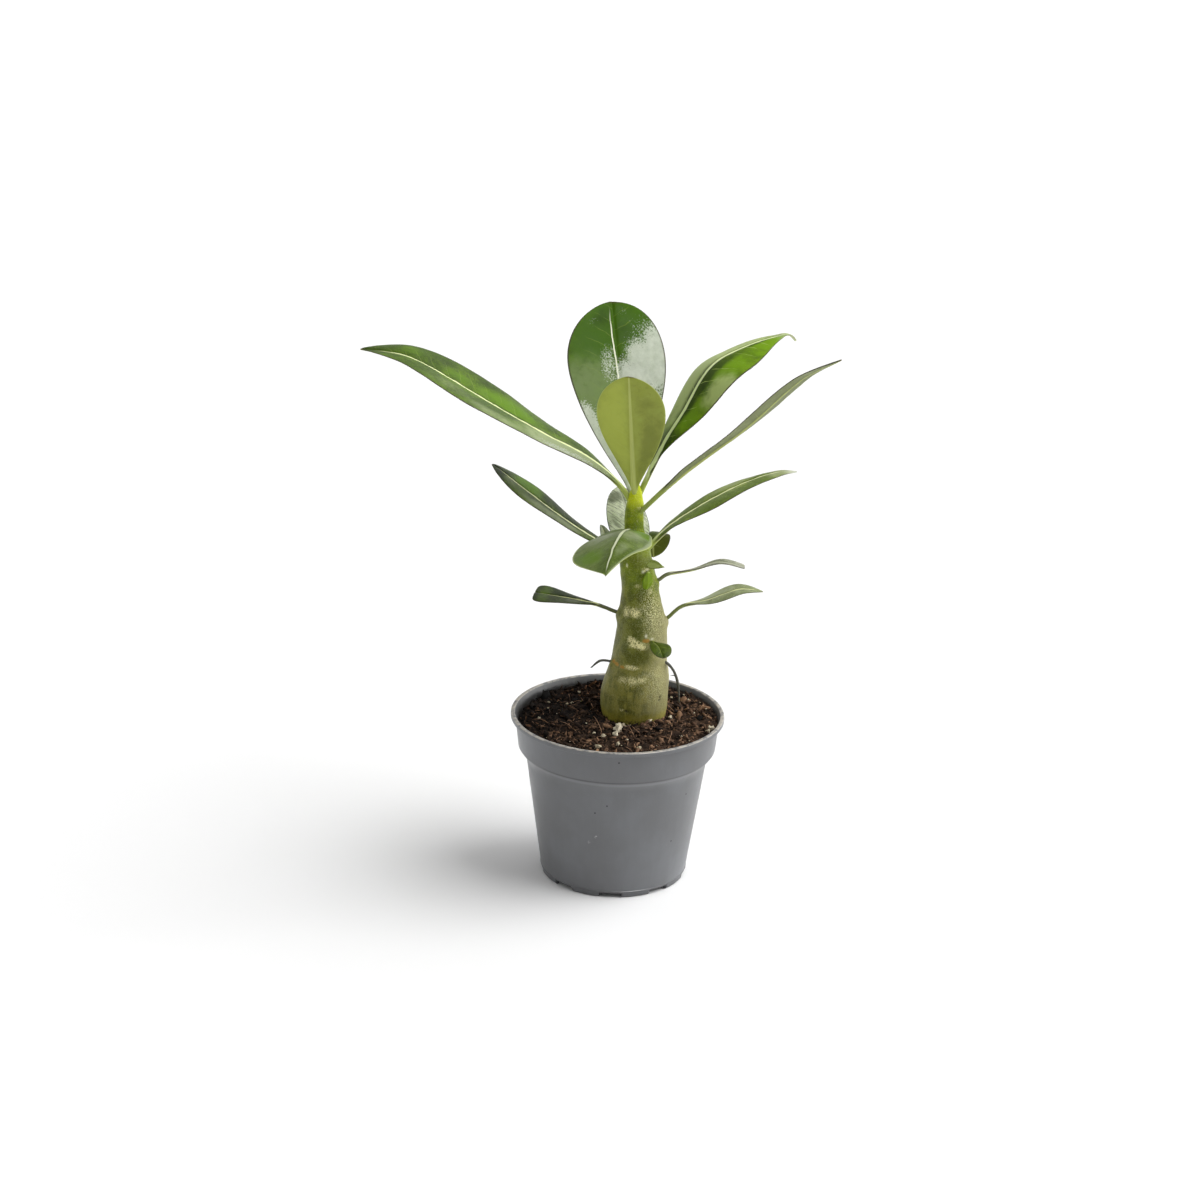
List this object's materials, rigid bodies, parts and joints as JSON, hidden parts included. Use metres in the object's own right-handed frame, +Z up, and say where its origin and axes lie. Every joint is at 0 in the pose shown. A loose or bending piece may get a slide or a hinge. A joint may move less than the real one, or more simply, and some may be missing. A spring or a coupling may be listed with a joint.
{
  "type": "potted desert rose adenium",
  "caption": "Young desert rose with a swollen stem and spoon-shaped leaves, in a filled round tapered plastic nursery pot with a collar and a rolled lip.",
  "frame": {"origin": "centre of the pot's foot, on the surface it stands on", "axes": "+Z up along the pot's axis, +X to the right and +Y away from the viewer in the picture's view"},
  "size_m": [0.2217, 0.118, 0.2821],
  "materials": {
    "pot_plastic": "satin mid-grey moulded plastic with a few specks and scuffs",
    "soil": null,
    "stem_skin": "olive to grey-green skin, smooth, with fine streaks, pale leaf scars and a bright green top",
    "leaf": null,
    "dried_stalk": "blackish dried leaf stalk"
  },
  "bodies": {
    "root": {"pot": "pot_plastic", "soil": "soil", "stem": "stem_skin", "leaf_top_back": "leaf", "leaf_top_front": "leaf", "leaf_left_long": "leaf", "leaf_right_upper": "leaf", "leaf_right_narrow": "leaf", "leaf_left_middle": "leaf", "leaf_right_middle": "leaf", "leaf_back_middle": "leaf", "leaf_front_drooping": "leaf", "leaf_back_right": "leaf", "leaf_back_small": "leaf", "leaf_right_edge_on": "leaf", "leaf_right_lowest": "leaf", "leaf_left_lowest": "leaf", "leaf_front_small": "leaf", "shoot_leaf": "leaf", "shoot_bud": "leaf", "dried_stalk_left": "dried_stalk", "dried_stalk_right": "dried_stalk"}
  },
  "joints": []
}
